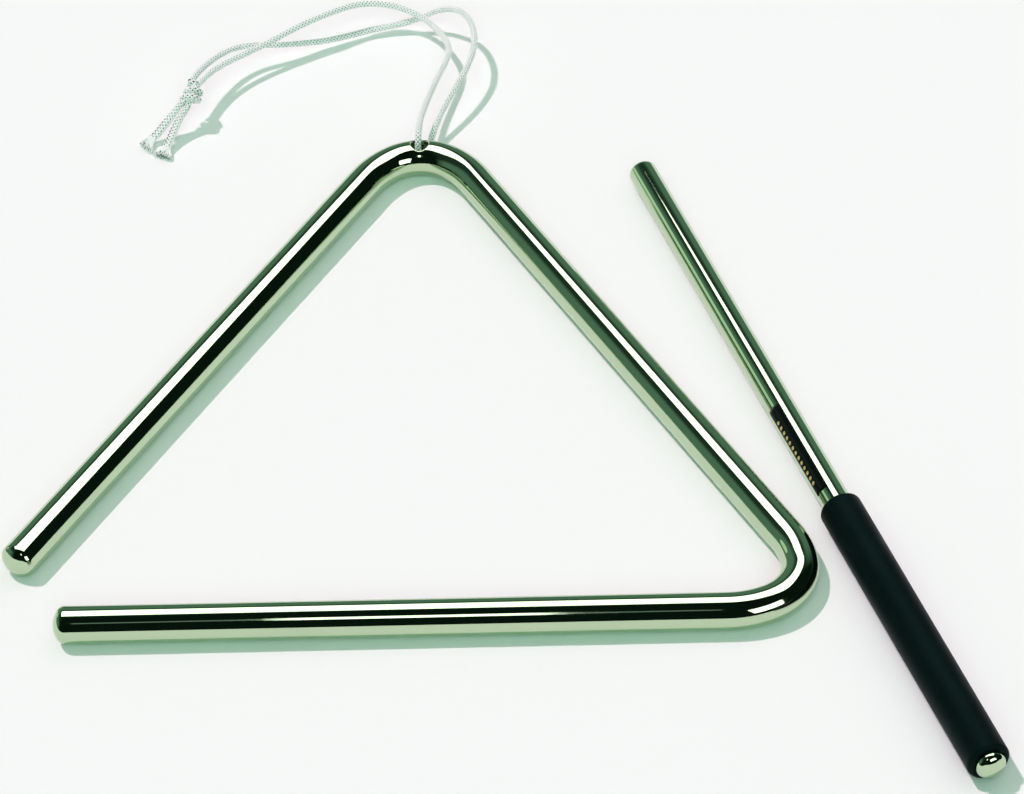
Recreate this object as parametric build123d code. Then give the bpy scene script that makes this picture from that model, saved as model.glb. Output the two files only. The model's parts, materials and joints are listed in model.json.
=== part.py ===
from build123d import *
import os
from math import atan, atan2, cos, degrees, hypot, radians, sin, tan

# A percussion triangle with its cord and beater, lying on a table. Millimetres, +Z up, table at z = 0.
# Shapes are laid out from the middle of the top bend's centre line, and moved at the end so that the
# origin is under the middle of the triangle and beater together.

# Triangle bar
bar_diameter = 8.0
side_length = 185.5         # between the sharp corners of the centre line
corner_gap = 20.0           # from the sharp open corner to the tip of each free limb
bend_radius = 11.6          # tight middle of a bend, at the centre line
shoulder_radius = 20.0      # easing arc on each side of that middle
shoulder_turn = 25.0        # degrees in each easing arc
end_dome = 2.6
dome_edge_share = 0.75      # of a dome's height, the radius that eases it into the side
hole_diameter = 4.0
hole_offset = 0.5           # of the hole's axis from the bend's centre line, outwards
hole_rim = 0.4

# Beater
rod_diameter = 6.4
rod_length = 203.0
rod_dome = 2.0
grip_wall = 1.38
grip_length = 79.5
grip_edge = 0.8
butt_showing = 0.6          # bare rod between the grip and the butt's dome
sleeve_clearance = 0.02     # between the rod and what is wrapped round it
label_length = 28.0
label_to_grip = 4.4
label_thickness = 0.1
label_wrap = 58.0           # degrees of the rod that the label covers
label_roll = 49.0           # degrees from straight up to the label's middle, on the triangle's side
beater_offset = 9.7         # from the sharp right corner to the beater's axis, along the base
beater_reach = 151.9        # from the beater's tip to that crossing
beater_splay = 9.9          # degrees between the beater and the right limb

# Cord
cord_diameter = 1.6
pinch_width = 2.0           # where the cord is squeezed flat under the bar
pinch_height = 0.8
knot_diameter = 4.9
knot_length = 6.6
knot_groove = 0.7
tip_width = 4.0
tip_height = 1.2
arc_share = 0.45            # of the shorter run at a point of a route, taken by the arc there

# Routes of the cord, from the middle of the top bend at table level
upper_route = [
    (-0.4, 0.7, 4.6), (-0.4, 0.7, 6.4), (-0.35, 1.5, 8.1), (-0.25, 3.3, 8.85), (-0.2, 5.8, 8.65),
    (0.1, 9.5, 8.15), (1.3, 16.0, 7.65), (3.2, 23.5, 7.4), (5.3, 30.4, 7.0), (6.1, 36.2, 6.4),
    (4.0, 42.8, 5.6), (-1.0, 49.8, 5.45), (-8.2, 53.0, 6.6), (-16.0, 51.6, 8.2), (-22.8, 47.6, 8.6),
    (-29.6, 43.9, 8.0), (-35.6, 40.0, 7.0), (-41.2, 36.2, 6.7), (-46.4, 31.9, 7.2), (-50.4, 26.6, 7.9),
    (-52.3, 22.3, 8.3),
]
lower_route = [
    (0.957, 4.358, 1.03), (1.63, 6.16, 1.88), (2.7, 9.5, 3.45), (4.7, 14.4, 5.8), (7.7, 20.3, 7.5),
    (10.5, 26.6, 8.5), (12.2, 33.4, 9.3), (11.6, 41.0, 9.5), (8.6, 47.6, 8.8), (3.2, 51.0, 6.4),
    (-1.8, 50.8, 3.65), (-7.2, 50.6, 2.2), (-13.4, 49.4, 1.8), (-19.0, 47.2, 1.8), (-24.6, 45.0, 2.4),
    (-30.4, 42.4, 3.9), (-36.0, 40.7, 5.1), (-41.0, 39.4, 6.4), (-45.6, 36.5, 7.5), (-49.2, 31.9, 8.3),
    (-52.0, 27.1, 9.0), (-53.6, 22.9, 9.3),
]
tail_left_route = [
    (-55.2, 17.9, 7.9), (-57.0, 16.2, 6.1), (-59.2, 14.5, 4.1), (-61.2, 13.0, 2.3), (-62.6, 11.9, 1.4),
]
tail_right_route = [
    (-54.2, 16.9, 6.7), (-55.8, 15.2, 5.2), (-57.1, 13.3, 3.6), (-58.2, 11.0, 2.2), (-59.1, 8.6, 1.4),
]
tip_left_foot = (-63.8, 10.3, 0.8)
tip_right_foot = (-59.9, 6.0, 0.8)

# Pinched turn of the cord inside and under the hole, as (run out from the hole, height)
pinch_profile = [
    (0, 4.6), (0, 3.3), (0.15, 2.0), (0.62, 0.95), (1.5, 0.38), (2.4, 0.45), (3.2, 0.72), (3.9, 1.03),
]

# Values that follow from the driving dimensions
bar_radius = bar_diameter / 2
corner_turn = 120.0
middle_turn = corner_turn - 2 * shoulder_turn
rod_radius = rod_diameter / 2
sleeve_radius = rod_radius + sleeve_clearance
grip_radius = sleeve_radius + grip_wall
grip_start = rod_length - rod_dome - butt_showing - grip_length
label_end = grip_start - label_to_grip
cord_radius = cord_diameter / 2


# Bend: shoulder arc, tight middle and shoulder arc, turning right
def bend_arcs(start, heading):
    arcs = []
    steps = [(shoulder_radius, shoulder_turn), (bend_radius, middle_turn), (shoulder_radius, shoulder_turn)]
    for radius, turn in steps:
        arc = JernArc(start, heading, radius, -turn)
        arcs.append(arc)
        start = arc @ 1
        heading = arc % 1
    return arcs


# From a bend's sharp corner: back to where its arcs begin, and in to the middle of its arcs
def bend_setback():
    arcs = bend_arcs((0, 0), (1, 0))
    setback = -(arcs[-1] @ 1).Y / sin(radians(corner_turn))
    middle = arcs[1] @ 0.5
    return setback, hypot(setback - middle.X, middle.Y)


setback, apex_rise = bend_setback()
base_y = apex_rise - side_length * sin(radians(corner_turn))
limb_straight = side_length - corner_gap - end_dome - setback


# Rounded bar end about X, from its base at x = 0: a flat crown eased into the side by a tighter edge
def dome(radius, height):
    edge = dome_edge_share * height
    edge_y = radius - edge
    crown_back = (edge_y**2 - (height - edge) ** 2) / (2 * (height - edge))
    seam = degrees(atan2(edge_y, crown_back))
    rounding = CenterArc((0, edge_y), edge, 90, seam - 90)
    crown = CenterArc((-crown_back, 0), height + crown_back, seam, -seam)
    sides = Polyline((0, radius), (0, 0), (height, 0))
    return revolve(make_face(rounding + crown + sides), Axis.X)


def triangle_bar():
    up_left = Vector(1, 0).rotate(Axis.Z, corner_turn / 2)
    down_right = Vector(1, 0).rotate(Axis.Z, -corner_turn / 2)
    apex = Vector(0, apex_rise, bar_radius)
    left_end = apex - up_left * (setback + limb_straight)
    left_limb = Line(left_end, apex - up_left * setback)
    top_bend = bend_arcs(left_limb @ 1, up_left)
    right_start = top_bend[-1] @ 1
    right_limb = Line(right_start, right_start + down_right * (side_length - 2 * setback))
    right_bend = bend_arcs(right_limb @ 1, down_right)
    base_start = right_bend[-1] @ 1
    base_limb = Line(base_start, base_start - Vector(limb_straight, 0))
    path = Wire([left_limb, *top_bend, right_limb, *right_bend, base_limb])
    bar = sweep(Plane(left_end, z_dir=up_left) * Circle(bar_radius), path=path)
    bar += Plane(left_end, x_dir=-up_left, z_dir=(0, 0, 1)) * dome(bar_radius, end_dome)
    bar += Plane(base_limb @ 1, x_dir=(-1, 0, 0), z_dir=(0, 0, 1)) * dome(bar_radius, end_dome)
    bar -= Pos(0, hole_offset, 0) * Cylinder(hole_diameter / 2, 3 * bar_diameter)
    wall = bar.faces().sort_by_distance((0, hole_offset, bar_radius))[0]
    return fillet(wall.edges().filter_by(lambda edge: edge.is_closed), hole_rim)


# Beater pieces lie along X from the tip at x = 0, with Z up
def beater_rod():
    shank_length = rod_length - 2 * rod_dome
    shank = Cylinder(rod_radius, shank_length, rotation=(0, 90, 0))
    shank = Pos(rod_length / 2, 0, 0) * shank
    tip = Plane((rod_dome, 0, 0), x_dir=(-1, 0, 0), z_dir=(0, 0, 1)) * dome(rod_radius, rod_dome)
    butt = Pos(rod_length - rod_dome, 0, 0) * dome(rod_radius, rod_dome)
    return shank + tip + butt


def beater_grip():
    outer = Cylinder(grip_radius, grip_length)
    outer = fillet(outer.edges().filter_by(GeomType.CIRCLE), grip_edge)
    sleeve = outer - Cylinder(sleeve_radius, 2 * grip_length)
    return Pos(grip_start + grip_length / 2, 0, 0) * Rot(0, 90, 0) * sleeve


def beater_label():
    strip = Pos(label_end - label_length, sleeve_radius) * Rectangle(
        label_length, label_thickness, align=(Align.MIN, Align.MIN)
    )
    wrap = revolve(strip, Axis.X, label_wrap)
    return Rot(90 + label_roll - label_wrap / 2, 0, 0) * wrap


# The beater rests on its tip and on the grip's front edge
def beater_place():
    rest_span = grip_start + grip_edge - rod_dome
    tilt = atan((grip_radius - rod_radius) / rest_span)
    heading = radians(-corner_turn / 2 - beater_splay)
    axis = Vector(cos(heading) * cos(tilt), sin(heading) * cos(tilt), sin(tilt))
    crossing = Vector(side_length / 2 + beater_offset, base_y, 0)
    level = Vector(cos(heading), sin(heading), 0)
    tip = crossing - level * beater_reach + Vector(0, 0, rod_radius - rod_dome * sin(tilt))
    side = Vector(sin(heading), -cos(heading), 0)
    return Plane(tip, x_dir=axis, z_dir=side.cross(axis)), degrees(tilt)


# Straight runs joined by arcs as large as the runs allow
def cord_line(name, points):
    corners = [Vector(*point) for point in points]
    runs = [end - start for start, end in zip(corners, corners[1:])]
    radii = []
    for before, after in zip(runs, runs[1:]):
        half_turn = radians(before.get_angle(after) / 2)
        radii.append(arc_share * min(before.length, after.length) / tan(half_turn))
    print(name, "radii", " ".join(f"{radius:.1f}" for radius in radii))
    return FilletPolyline(*corners, radius=radii)


def cord_tube(name, points):
    line = cord_line(name, points)
    tube = sweep(Plane(line @ 0, z_dir=line % 0) * Circle(cord_radius), path=line)
    expected = Circle(cord_radius).area * line.length
    print(name, f"length {line.length:.1f} volume {tube.volume:.2f} of {expected:.2f}")
    return tube


def pinched_turn():
    start = Vector(*upper_route[0])
    reach = Vector(*lower_route[0]) - start
    out = Vector(reach.X, reach.Y).normalized()
    points = [Vector(start.X, start.Y, height) + out * run for run, height in pinch_profile]
    line = cord_line("cord_bight", points)
    across = Vector(out.Y, -out.X, 0)
    section = Plane(line @ 0, x_dir=across, z_dir=line % 0) * Ellipse(pinch_width / 2, pinch_height / 2)
    tube = sweep(section, path=line)
    expected = Ellipse(pinch_width / 2, pinch_height / 2).area * line.length
    print("cord_bight", f"length {line.length:.1f} volume {tube.volume:.2f} of {expected:.2f}")
    return tube


# Three rounded turns of cord drawn tight, as one barrel about Z
def knot():
    crest = knot_diameter / 2
    dip = crest - knot_groove
    third = knot_length / 3
    shoulder = crest - cord_radius
    half = knot_length / 2
    lower_turn = ThreePointArc((shoulder, -half), (crest - knot_groove / 3, -third), (dip, -third / 2))
    widest_turn = ThreePointArc((dip, -third / 2), (crest, 0), (dip, third / 2))
    upper_turn = ThreePointArc((dip, third / 2), (crest - knot_groove / 3, third), (shoulder, half))
    core = Polyline((shoulder, half), (0, half), (0, -half), (shoulder, -half))
    return revolve(Plane.XZ * make_face(lower_turn + widest_turn + upper_turn + core), Axis.Z)


def placed_knot():
    strand_end = (Vector(*upper_route[-1]) + Vector(*lower_route[-1])) / 2
    tail_start = (Vector(*tail_left_route[0]) + Vector(*tail_right_route[0])) / 2
    return Plane((strand_end + tail_start) / 2, z_dir=strand_end - tail_start) * knot()


# Cut end of a tail, spread flat on the table
def cut_tip(tail_route, foot):
    start = Vector(*tail_route[-1])
    heading = start - Vector(*tail_route[-2])
    side = heading.cross(Vector(0, 0, 1))
    last = Vector(*foot) - start
    neck = Plane(start, x_dir=side, z_dir=heading) * Circle(cord_radius)
    mouth = Plane(Vector(*foot), x_dir=side, z_dir=last) * Ellipse(tip_width / 2, tip_height / 2)
    return loft([neck, mouth])


beater_plane, beater_tilt = beater_place()
pieces = {
    "triangle_bar": triangle_bar(),
    "beater_rod": beater_plane * beater_rod(),
    "beater_grip": beater_plane * beater_grip(),
    "beater_label": beater_plane * beater_label(),
}
box = Compound(list(pieces.values())).bounding_box()
to_origin = Pos(-box.center().X, -box.center().Y, 0)
pieces["cord_bight"] = pinched_turn()
pieces["cord_upper"] = cord_tube("cord_upper", upper_route)
pieces["cord_lower"] = cord_tube("cord_lower", lower_route)
pieces["cord_knot"] = placed_knot()
pieces["cord_tail_left"] = cord_tube("cord_tail_left", tail_left_route)
pieces["cord_tail_right"] = cord_tube("cord_tail_right", tail_right_route)
pieces["cord_tip_left"] = cut_tip(tail_left_route, tip_left_foot)
pieces["cord_tip_right"] = cut_tip(tail_right_route, tip_right_foot)

os.makedirs("parts", exist_ok=True)
for name, piece in pieces.items():
    export_step(to_origin * piece, f"parts/{name}.step")

print("middle of the top bend at", to_origin.position, "apex rise", apex_rise, "base", base_y)
print("hole axis at", to_origin.position + Vector(0, hole_offset))
print("beater tip at", beater_plane.origin + to_origin.position, "axis", beater_plane.x_dir)
print("beater tilt", beater_tilt, "grip from", grip_start, "label to", label_end)
print("size", box.size, "lowest", box.min.Z)
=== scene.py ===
import json
import bmesh
import bpy
import numpy as np
from mathutils import Matrix


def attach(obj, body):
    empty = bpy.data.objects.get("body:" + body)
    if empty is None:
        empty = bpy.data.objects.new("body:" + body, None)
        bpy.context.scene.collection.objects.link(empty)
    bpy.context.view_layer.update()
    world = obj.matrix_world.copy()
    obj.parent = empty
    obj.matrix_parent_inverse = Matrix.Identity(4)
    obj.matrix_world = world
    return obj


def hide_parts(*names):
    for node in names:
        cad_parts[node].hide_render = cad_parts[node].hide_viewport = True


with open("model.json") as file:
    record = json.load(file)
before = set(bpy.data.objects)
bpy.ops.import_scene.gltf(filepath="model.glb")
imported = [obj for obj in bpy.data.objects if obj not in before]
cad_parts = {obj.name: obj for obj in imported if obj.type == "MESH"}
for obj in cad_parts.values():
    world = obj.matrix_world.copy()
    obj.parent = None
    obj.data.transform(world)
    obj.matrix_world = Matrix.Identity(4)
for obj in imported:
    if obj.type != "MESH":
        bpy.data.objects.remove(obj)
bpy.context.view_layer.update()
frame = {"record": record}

mm = 0.001
record = frame["record"]
mounts = {mount["name"]: mount for mount in record["mounts"]}
joints = {joint["name"]: joint for joint in record["behaviour"]["joints"]}
holeOffset = np.array((0.0, 0.5, 0.0))  # mm outwards from the middle of the top bend to the hole's axis
bendMiddle = np.array(joints["cord_swivel"]["pos_m"]) * (1, 1, 0) - holeOffset * mm  # at table level
print("frame loaded, middle of the top bend at", bendMiddle)


# Vectors brought to length one
def unit(v):
    return v / np.linalg.norm(v, axis=-1, keepdims=True)


# 0 up to low, 1 from high on, and 3 t^2 - 2 t^3 between them
def smoothStep(x, low, high):
    t = np.clip((x - low) / (high - low), 0, 1)
    return t * t * (3 - 2 * t)


# Angles evenly round a full turn
def roundAngles(count):
    return np.arange(count) / count * 2 * np.pi


# Matrix whose columns are an object's own three directions and its place
def placing(right, up, back, place=(0, 0, 0)):
    matrix = np.eye(4)
    matrix[:3] = np.column_stack([right, up, back, place])
    return Matrix(matrix.tolist())


# Object that holds some data, linked to the scene
def addObject(name, data):
    thing = bpy.data.objects.new(name, data)
    bpy.context.collection.objects.link(thing)
    return thing


# Quads between neighbours of a rows x columns grid, each with its UV corners (u along the columns)
def gridFaces(rows, columns, wrap, start=0):
    r, c = np.meshgrid(np.arange(rows - 1), np.arange(columns if wrap else columns - 1), indexing="ij")
    corners = [(r, c), (r, c + 1), (r + 1, c + 1), (r + 1, c)]
    faces = np.stack([i * columns + j % columns for i, j in corners], -1).reshape(-1, 4) + start
    uv = np.stack([np.stack([j / columns, i / (rows - 1)], -1) for i, j in corners], -2).reshape(-1, 4, 2)
    return faces, uv


# Points, faces and UV corners become an object: poles and seams merged, loose points dropped, faces outwards.
# rise is a value for each point, kept as an attribute from which the cord's finish paints shade
def meshPiece(name, points, faces, uv, rise=None, merge=2e-7):
    mesh = bpy.data.meshes.new(name)
    mesh.from_pydata(points.tolist(), [], faces.tolist())
    mesh.uv_layers.new(name="along").data.foreach_set("uv", uv.ravel())
    if rise is not None:
        mesh.attributes.new("rise", "FLOAT", "POINT").data.foreach_set("value", rise)
    work = bmesh.new()
    work.from_mesh(mesh)
    bmesh.ops.remove_doubles(work, verts=work.verts, dist=merge)
    bmesh.ops.delete(work, geom=[v for v in work.verts if not v.link_faces], context="VERTS")
    bmesh.ops.recalc_face_normals(work, faces=work.faces)
    work.to_mesh(mesh)
    work.free()
    mesh.polygons.foreach_set("use_smooth", np.ones(len(mesh.polygons), bool))
    mesh.update()
    return addObject(name, mesh)


# Joins grids of points (rows, columns, 3) in metres into one closed mesh; uvScales stretch each grid's UV
def makePiece(name, grids, wraps, uvScales=None, rises=None):
    starts = np.cumsum([0] + [grid.shape[0] * grid.shape[1] for grid in grids])
    sheets = [gridFaces(*grid.shape[:2], wrap, start) for grid, wrap, start in zip(grids, wraps, starts)]
    scales = uvScales or [1] * len(grids)
    points = np.concatenate([grid.reshape(-1, 3) for grid in grids])
    faces = np.concatenate([quads for quads, _ in sheets])
    uv = np.concatenate([corners * scale for (_, corners), scale in zip(sheets, scales)])
    rise = np.concatenate([values.ravel() for values in rises]) if rises else None
    return meshPiece(name, points, faces, uv, rise)


# Says what a piece rides on, stands for and is finished in
def settle(piece, body, node, material):
    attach(piece, body)
    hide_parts(node)
    piece.data.materials.clear()
    piece.data.materials.append(material)
    print("made", piece.name, len(piece.data.polygons), "faces")


# Camera: stands in front of the base limb, looking down on the table, leaning a little
view = {
    "place": (65.64, -890.39, 758.53),  # mm from the middle of the top bend
    "target": (21.80, -76.74, 0.0),
    "roll": -3.412,
    "lens": 179.54,
    "sensor": 36.0,
    "clip": (0.05, 100.0),
}


# Right and up are cross products with straight up, then turned by the roll
def makeCamera():
    place = bendMiddle + np.array(view["place"]) * mm
    forward = unit(bendMiddle + np.array(view["target"]) * mm - place)
    right = unit(np.cross(forward, (0, 0, 1)))
    up = np.cross(right, forward)
    c, s = np.cos(np.radians(view["roll"])), np.sin(np.radians(view["roll"]))
    data = bpy.data.cameras.new("tableCamera")
    data.sensor_fit = "HORIZONTAL"
    data.sensor_width = view["sensor"]
    data.lens = view["lens"]
    data.clip_start, data.clip_end = view["clip"]
    camera = addObject("tableCamera", data)
    camera.matrix_world = placing(c * right + s * up, c * up - s * right, -forward, place)
    bpy.context.scene.camera = camera


makeCamera()
print("camera placed")


# Sets a node's inputs by name or number; a socket given as a value is linked
def feed(tree, node, values):
    for key, value in values.items():
        if isinstance(value, bpy.types.NodeSocket):
            tree.links.new(value, node.inputs[key])
        else:
            node.inputs[key].default_value = value


# Makes a node with its settings and inputs
def addNode(tree, kind, values, **settings):
    node = tree.nodes.new(kind)
    for key, value in settings.items():
        setattr(node, key, value)
    feed(tree, node, values)
    return node


# One step of arithmetic on numbers or sockets
def mathNode(tree, operation, *terms):
    return addNode(tree, "ShaderNodeMath", dict(enumerate(terms)), operation=operation).outputs[0]


# Value stretched from one range to another, held at the ends
def rangeNode(tree, value, low, high, toLow, toHigh):
    terms = {"Value": value, "From Min": low, "From Max": high, "To Min": toLow, "To Max": toHigh}
    return addNode(tree, "ShaderNodeMapRange", terms).outputs["Result"]


# First colour where the factor is 0, second where it is 1; the node's colour sockets go by number
def mixColour(tree, factor, first, second):
    return addNode(tree, "ShaderNodeMix", {0: factor, 6: first, 7: second}, data_type="RGBA").outputs[2]


# Material with its tree and its Principled shader
def newMaterial(name):
    material = bpy.data.materials.new(name)
    material.use_nodes = True
    tree = material.node_tree
    return material, tree, tree.nodes["Principled BSDF"]


# Shared effect: cloudy finger smears and hair-fine rubbing lines, as two masks and one bump height
def makeHandlingMarks():
    tree = bpy.data.node_groups.new("handlingMarks", "ShaderNodeTree")
    for name, kind, out in (
        ("Vector", "NodeSocketVector", False), ("Smear Scale", "NodeSocketFloat", False),
        ("Line Scale", "NodeSocketFloat", False), ("Smear", "NodeSocketFloat", True),
        ("Lines", "NodeSocketFloat", True), ("Height", "NodeSocketFloat", True),
    ):
        tree.interface.new_socket(name=name, in_out="OUTPUT" if out else "INPUT", socket_type=kind)
    given = tree.nodes.new("NodeGroupInput").outputs
    cloud = addNode(tree, "ShaderNodeTexNoise", {
        "Vector": given["Vector"], "Scale": given["Smear Scale"], "Detail": 4.0, "Roughness": 0.6,
    })
    smear = rangeNode(tree, cloud.outputs["Fac"], 0.50, 0.72, 0.0, 1.0)
    hair = addNode(tree, "ShaderNodeTexNoise", {
        "Vector": given["Vector"], "Scale": given["Line Scale"], "Detail": 3.0, "Distortion": 1.5,
    })
    ridge = mathNode(tree, "ABSOLUTE", mathNode(tree, "SUBTRACT", hair.outputs["Fac"], 0.5))
    lines = rangeNode(tree, ridge, 0.0, 0.012, 1.0, 0.0)
    height = mathNode(tree, "MULTIPLY_ADD", lines, -0.5, cloud.outputs["Fac"])
    addNode(tree, "NodeGroupOutput", {"Smear": smear, "Lines": lines, "Height": height})
    return tree


handlingMarks = makeHandlingMarks()


# The shared marks, placed in one material at that finish's own scales
def marksOn(tree, vector, finish):
    values = {"Vector": vector, "Smear Scale": finish["smearScale"], "Line Scale": finish["lineScale"]}
    return addNode(tree, "ShaderNodeGroup", values, node_tree=handlingMarks).outputs


plating = {
    "clean": (0.505, 0.63, 0.43, 1),
    "handled": (0.48, 0.60, 0.41, 1),
    "roughness": (0.035, 0.075),  # clean and handled
    "lineRoughness": 0.03,        # added along a rubbing line
    "smearScale": 55.0,
    "lineScale": 900.0,
}


# Nickel-plated steel, nearly a mirror, with faint smears where it has been handled
def polishedSteel():
    material, tree, shader = newMaterial("polishedSteel")
    place = tree.nodes.new("ShaderNodeTexCoord").outputs["Object"]
    marks = marksOn(tree, place, plating)
    rough = rangeNode(tree, marks["Smear"], 0.0, 1.0, *plating["roughness"])
    rough = mathNode(tree, "MULTIPLY_ADD", marks["Lines"], plating["lineRoughness"], rough)
    colour = mixColour(tree, marks["Smear"], plating["clean"], plating["handled"])
    feed(tree, shader, {"Base Color": colour, "Roughness": rough, "Metallic": 1.0})
    return material


sleeve = {
    "dull": (0.0016, 0.0056, 0.0054, 1),
    "rubbed": (0.0024, 0.0078, 0.0075, 1),
    "roughness": (0.46, 0.38),    # dull and rubbed
    "smearScale": 70.0,
    "lineScale": 1400.0,
    "grainScale": 2600.0,
    "grainShare": 0.6,            # of the bump, beside the rubbing marks
    "bump": 0.12,
    "bumpDepth": 0.0001,
    "shine": 0.045,
    "shineTint": (0.3, 1.0, 0.9, 1),
}


# Black sleeve rubber: dull, with a faint moulded grain and shinier where the hand rubs it
def gripRubber():
    material, tree, shader = newMaterial("gripRubber")
    place = tree.nodes.new("ShaderNodeTexCoord").outputs["Object"]
    marks = marksOn(tree, place, sleeve)
    grain = addNode(tree, "ShaderNodeTexNoise", {
        "Vector": place, "Scale": sleeve["grainScale"], "Detail": 2.0,
    })
    colour = mixColour(tree, marks["Smear"], sleeve["dull"], sleeve["rubbed"])
    rough = rangeNode(tree, marks["Smear"], 0.0, 1.0, *sleeve["roughness"])
    height = mathNode(tree, "MULTIPLY_ADD", grain.outputs["Fac"], sleeve["grainShare"], marks["Height"])
    bump = addNode(tree, "ShaderNodeBump", {
        "Height": height, "Strength": sleeve["bump"], "Distance": sleeve["bumpDepth"],
    })
    feed(tree, shader, {
        "Base Color": colour, "Roughness": rough, "Normal": bump.outputs["Normal"],
        "Specular IOR Level": sleeve["shine"], "Specular Tint": sleeve["shineTint"],
    })
    return material


film = {
    "black": (0.002, 0.0045, 0.0042, 1),
    "gold": (0.66, 0.55, 0.22, 1),
    "dots": 13,
    "first": 0.13,                # where the row starts and stops along the film
    "last": 0.91,
    "row": 0.72,                  # where it runs across the film
    "filmWidth": 2.1,             # in spaces between dots
    "dotRadius": 0.27,            # the same
    "dotEdge": (0.05, 0.03),      # a dot fades from this far inside its radius to this far outside
    "dotMetal": 0.25,
    "roughness": (0.22, 0.32),    # clean and handled
    "smearScale": 160.0,
    "lineScale": 1500.0,
    "shine": 0.12,
}


# Black film with one plain row of small gold dots along it. UV runs across and along the film, and a dot is
# where the distance from the middle of its space is less than its radius
def labelFilm():
    material, tree, shader = newMaterial("labelFilm")
    coords = tree.nodes.new("ShaderNodeTexCoord").outputs
    marks = marksOn(tree, coords["Object"], film)
    axes = addNode(tree, "ShaderNodeSeparateXYZ", {0: coords["UV"]}).outputs
    inner = rangeNode(tree, axes["Y"], film["first"], film["last"], 0.0, film["dots"])
    cell = mathNode(tree, "SUBTRACT", mathNode(tree, "FRACT", inner), 0.5)
    fromRow = mathNode(tree, "SUBTRACT", axes["X"], film["row"])
    across = mathNode(tree, "MULTIPLY", fromRow, film["filmWidth"])
    square = mathNode(tree, "MULTIPLY_ADD", cell, cell, mathNode(tree, "MULTIPLY", across, across))
    inside, outside = film["dotEdge"]
    fade = (film["dotRadius"] - inside, film["dotRadius"] + outside)
    dot = rangeNode(tree, mathNode(tree, "SQRT", square), *fade, 1.0, 0.0)
    colour = mixColour(tree, dot, film["black"], film["gold"])
    rough = rangeNode(tree, marks["Smear"], 0.0, 1.0, *film["roughness"])
    metal = mathNode(tree, "MULTIPLY", dot, film["dotMetal"])
    feed(tree, shader, {
        "Base Color": colour, "Metallic": metal, "Roughness": rough, "Specular IOR Level": film["shine"],
    })
    return material


yarn = {
    "shaded": (0.90, 0.92, 0.91, 1),
    "white": (0.98, 0.99, 0.985, 1),
    # dark green painted shade, for where the rise is low
    "dip": (0.045, 0.125, 0.09, 1),
    "dipRise": (0.20, 0.40),            # rise at which the painted shade is full, and at which it is gone again
    "fibreStretch": (9.0, 0.9, 1.0),
    "fibreScale": 2.0,
    "patchScale": 240.0,
    "patchShare": 0.5,
    "toneRange": (0.45, 1.0),
    "fibreRange": (0.3, 0.7),
    "roughness": (0.55, 0.38),          # between the fibres and on them
    "bump": 0.35,
    "bumpDepth": 0.00005,
    "shine": 0.6,
    "sheen": 0.25,
    "sheenRoughness": 0.4,
}


# White yarn: UV u runs round a yarn and v along it in millimetres, so fibres lie along the yarn.
# The rise attribute is 1 on the crowns of the yarns and falls where they dip; there a dark green painted
# shade is mixed in, standing in for the shade in the crevices between the yarns
def braidedCord():
    material, tree, shader = newMaterial("braidedCord")
    coords = tree.nodes.new("ShaderNodeTexCoord").outputs
    rise = tree.nodes.new("ShaderNodeAttribute")
    rise.attribute_name = "rise"
    lengths = addNode(tree, "ShaderNodeMapping", {"Vector": coords["UV"], "Scale": yarn["fibreStretch"]})
    fibre = addNode(tree, "ShaderNodeTexNoise", {
        "Vector": lengths.outputs[0], "Scale": yarn["fibreScale"], "Detail": 3.0,
    }).outputs["Fac"]
    patch = addNode(tree, "ShaderNodeTexNoise", {
        "Vector": coords["Object"], "Scale": yarn["patchScale"], "Detail": 2.0,
    }).outputs["Fac"]
    tone = mathNode(tree, "MULTIPLY_ADD", patch, yarn["patchShare"], fibre)
    shade = rangeNode(tree, tone, *yarn["toneRange"], 0.0, 1.0)
    white = mixColour(tree, shade, yarn["shaded"], yarn["white"])
    # Painted shade: the colour goes to dark green where the rise is low, in the dips and on the yarns' inner
    # sides
    crown = rangeNode(tree, rise.outputs["Fac"], *yarn["dipRise"], 0.0, 1.0)
    colour = mixColour(tree, crown, yarn["dip"], white)
    rough = rangeNode(tree, fibre, *yarn["fibreRange"], *yarn["roughness"])
    bump = addNode(tree, "ShaderNodeBump", {
        "Height": fibre, "Strength": yarn["bump"], "Distance": yarn["bumpDepth"],
    })
    feed(tree, shader, {
        "Base Color": colour, "Roughness": rough, "Normal": bump.outputs["Normal"],
        "Specular IOR Level": yarn["shine"], "Sheen Weight": yarn["sheen"],
        "Sheen Roughness": yarn["sheenRoughness"],
    })
    return material


steel = polishedSteel()
rubber = gripRubber()
printedFilm = labelFilm()
cordYarn = braidedCord()
print("finishes made")


# Rounded end of a bar: (run out, radius) from the side to the pole, a tight edge arc then a flat crown arc
def domeProfile(radius, height, edgeShare=0.75, edgeRows=16, crownRows=12):
    edge = edgeShare * height
    edgeY = radius - edge
    crownBack = (edgeY**2 - (height - edge) ** 2) / (2 * (height - edge))
    seam = np.arctan2(edgeY, crownBack)
    a = np.linspace(np.pi / 2, seam, edgeRows)[1:]
    b = np.linspace(seam, 0, crownRows)[1:]
    run = np.concatenate([edge * np.cos(a), (height + crownBack) * np.cos(b) - crownBack])
    rise = np.concatenate([edgeY + edge * np.sin(a), (height + crownBack) * np.sin(b)])
    rise[-1] = 0
    return run, rise


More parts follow.
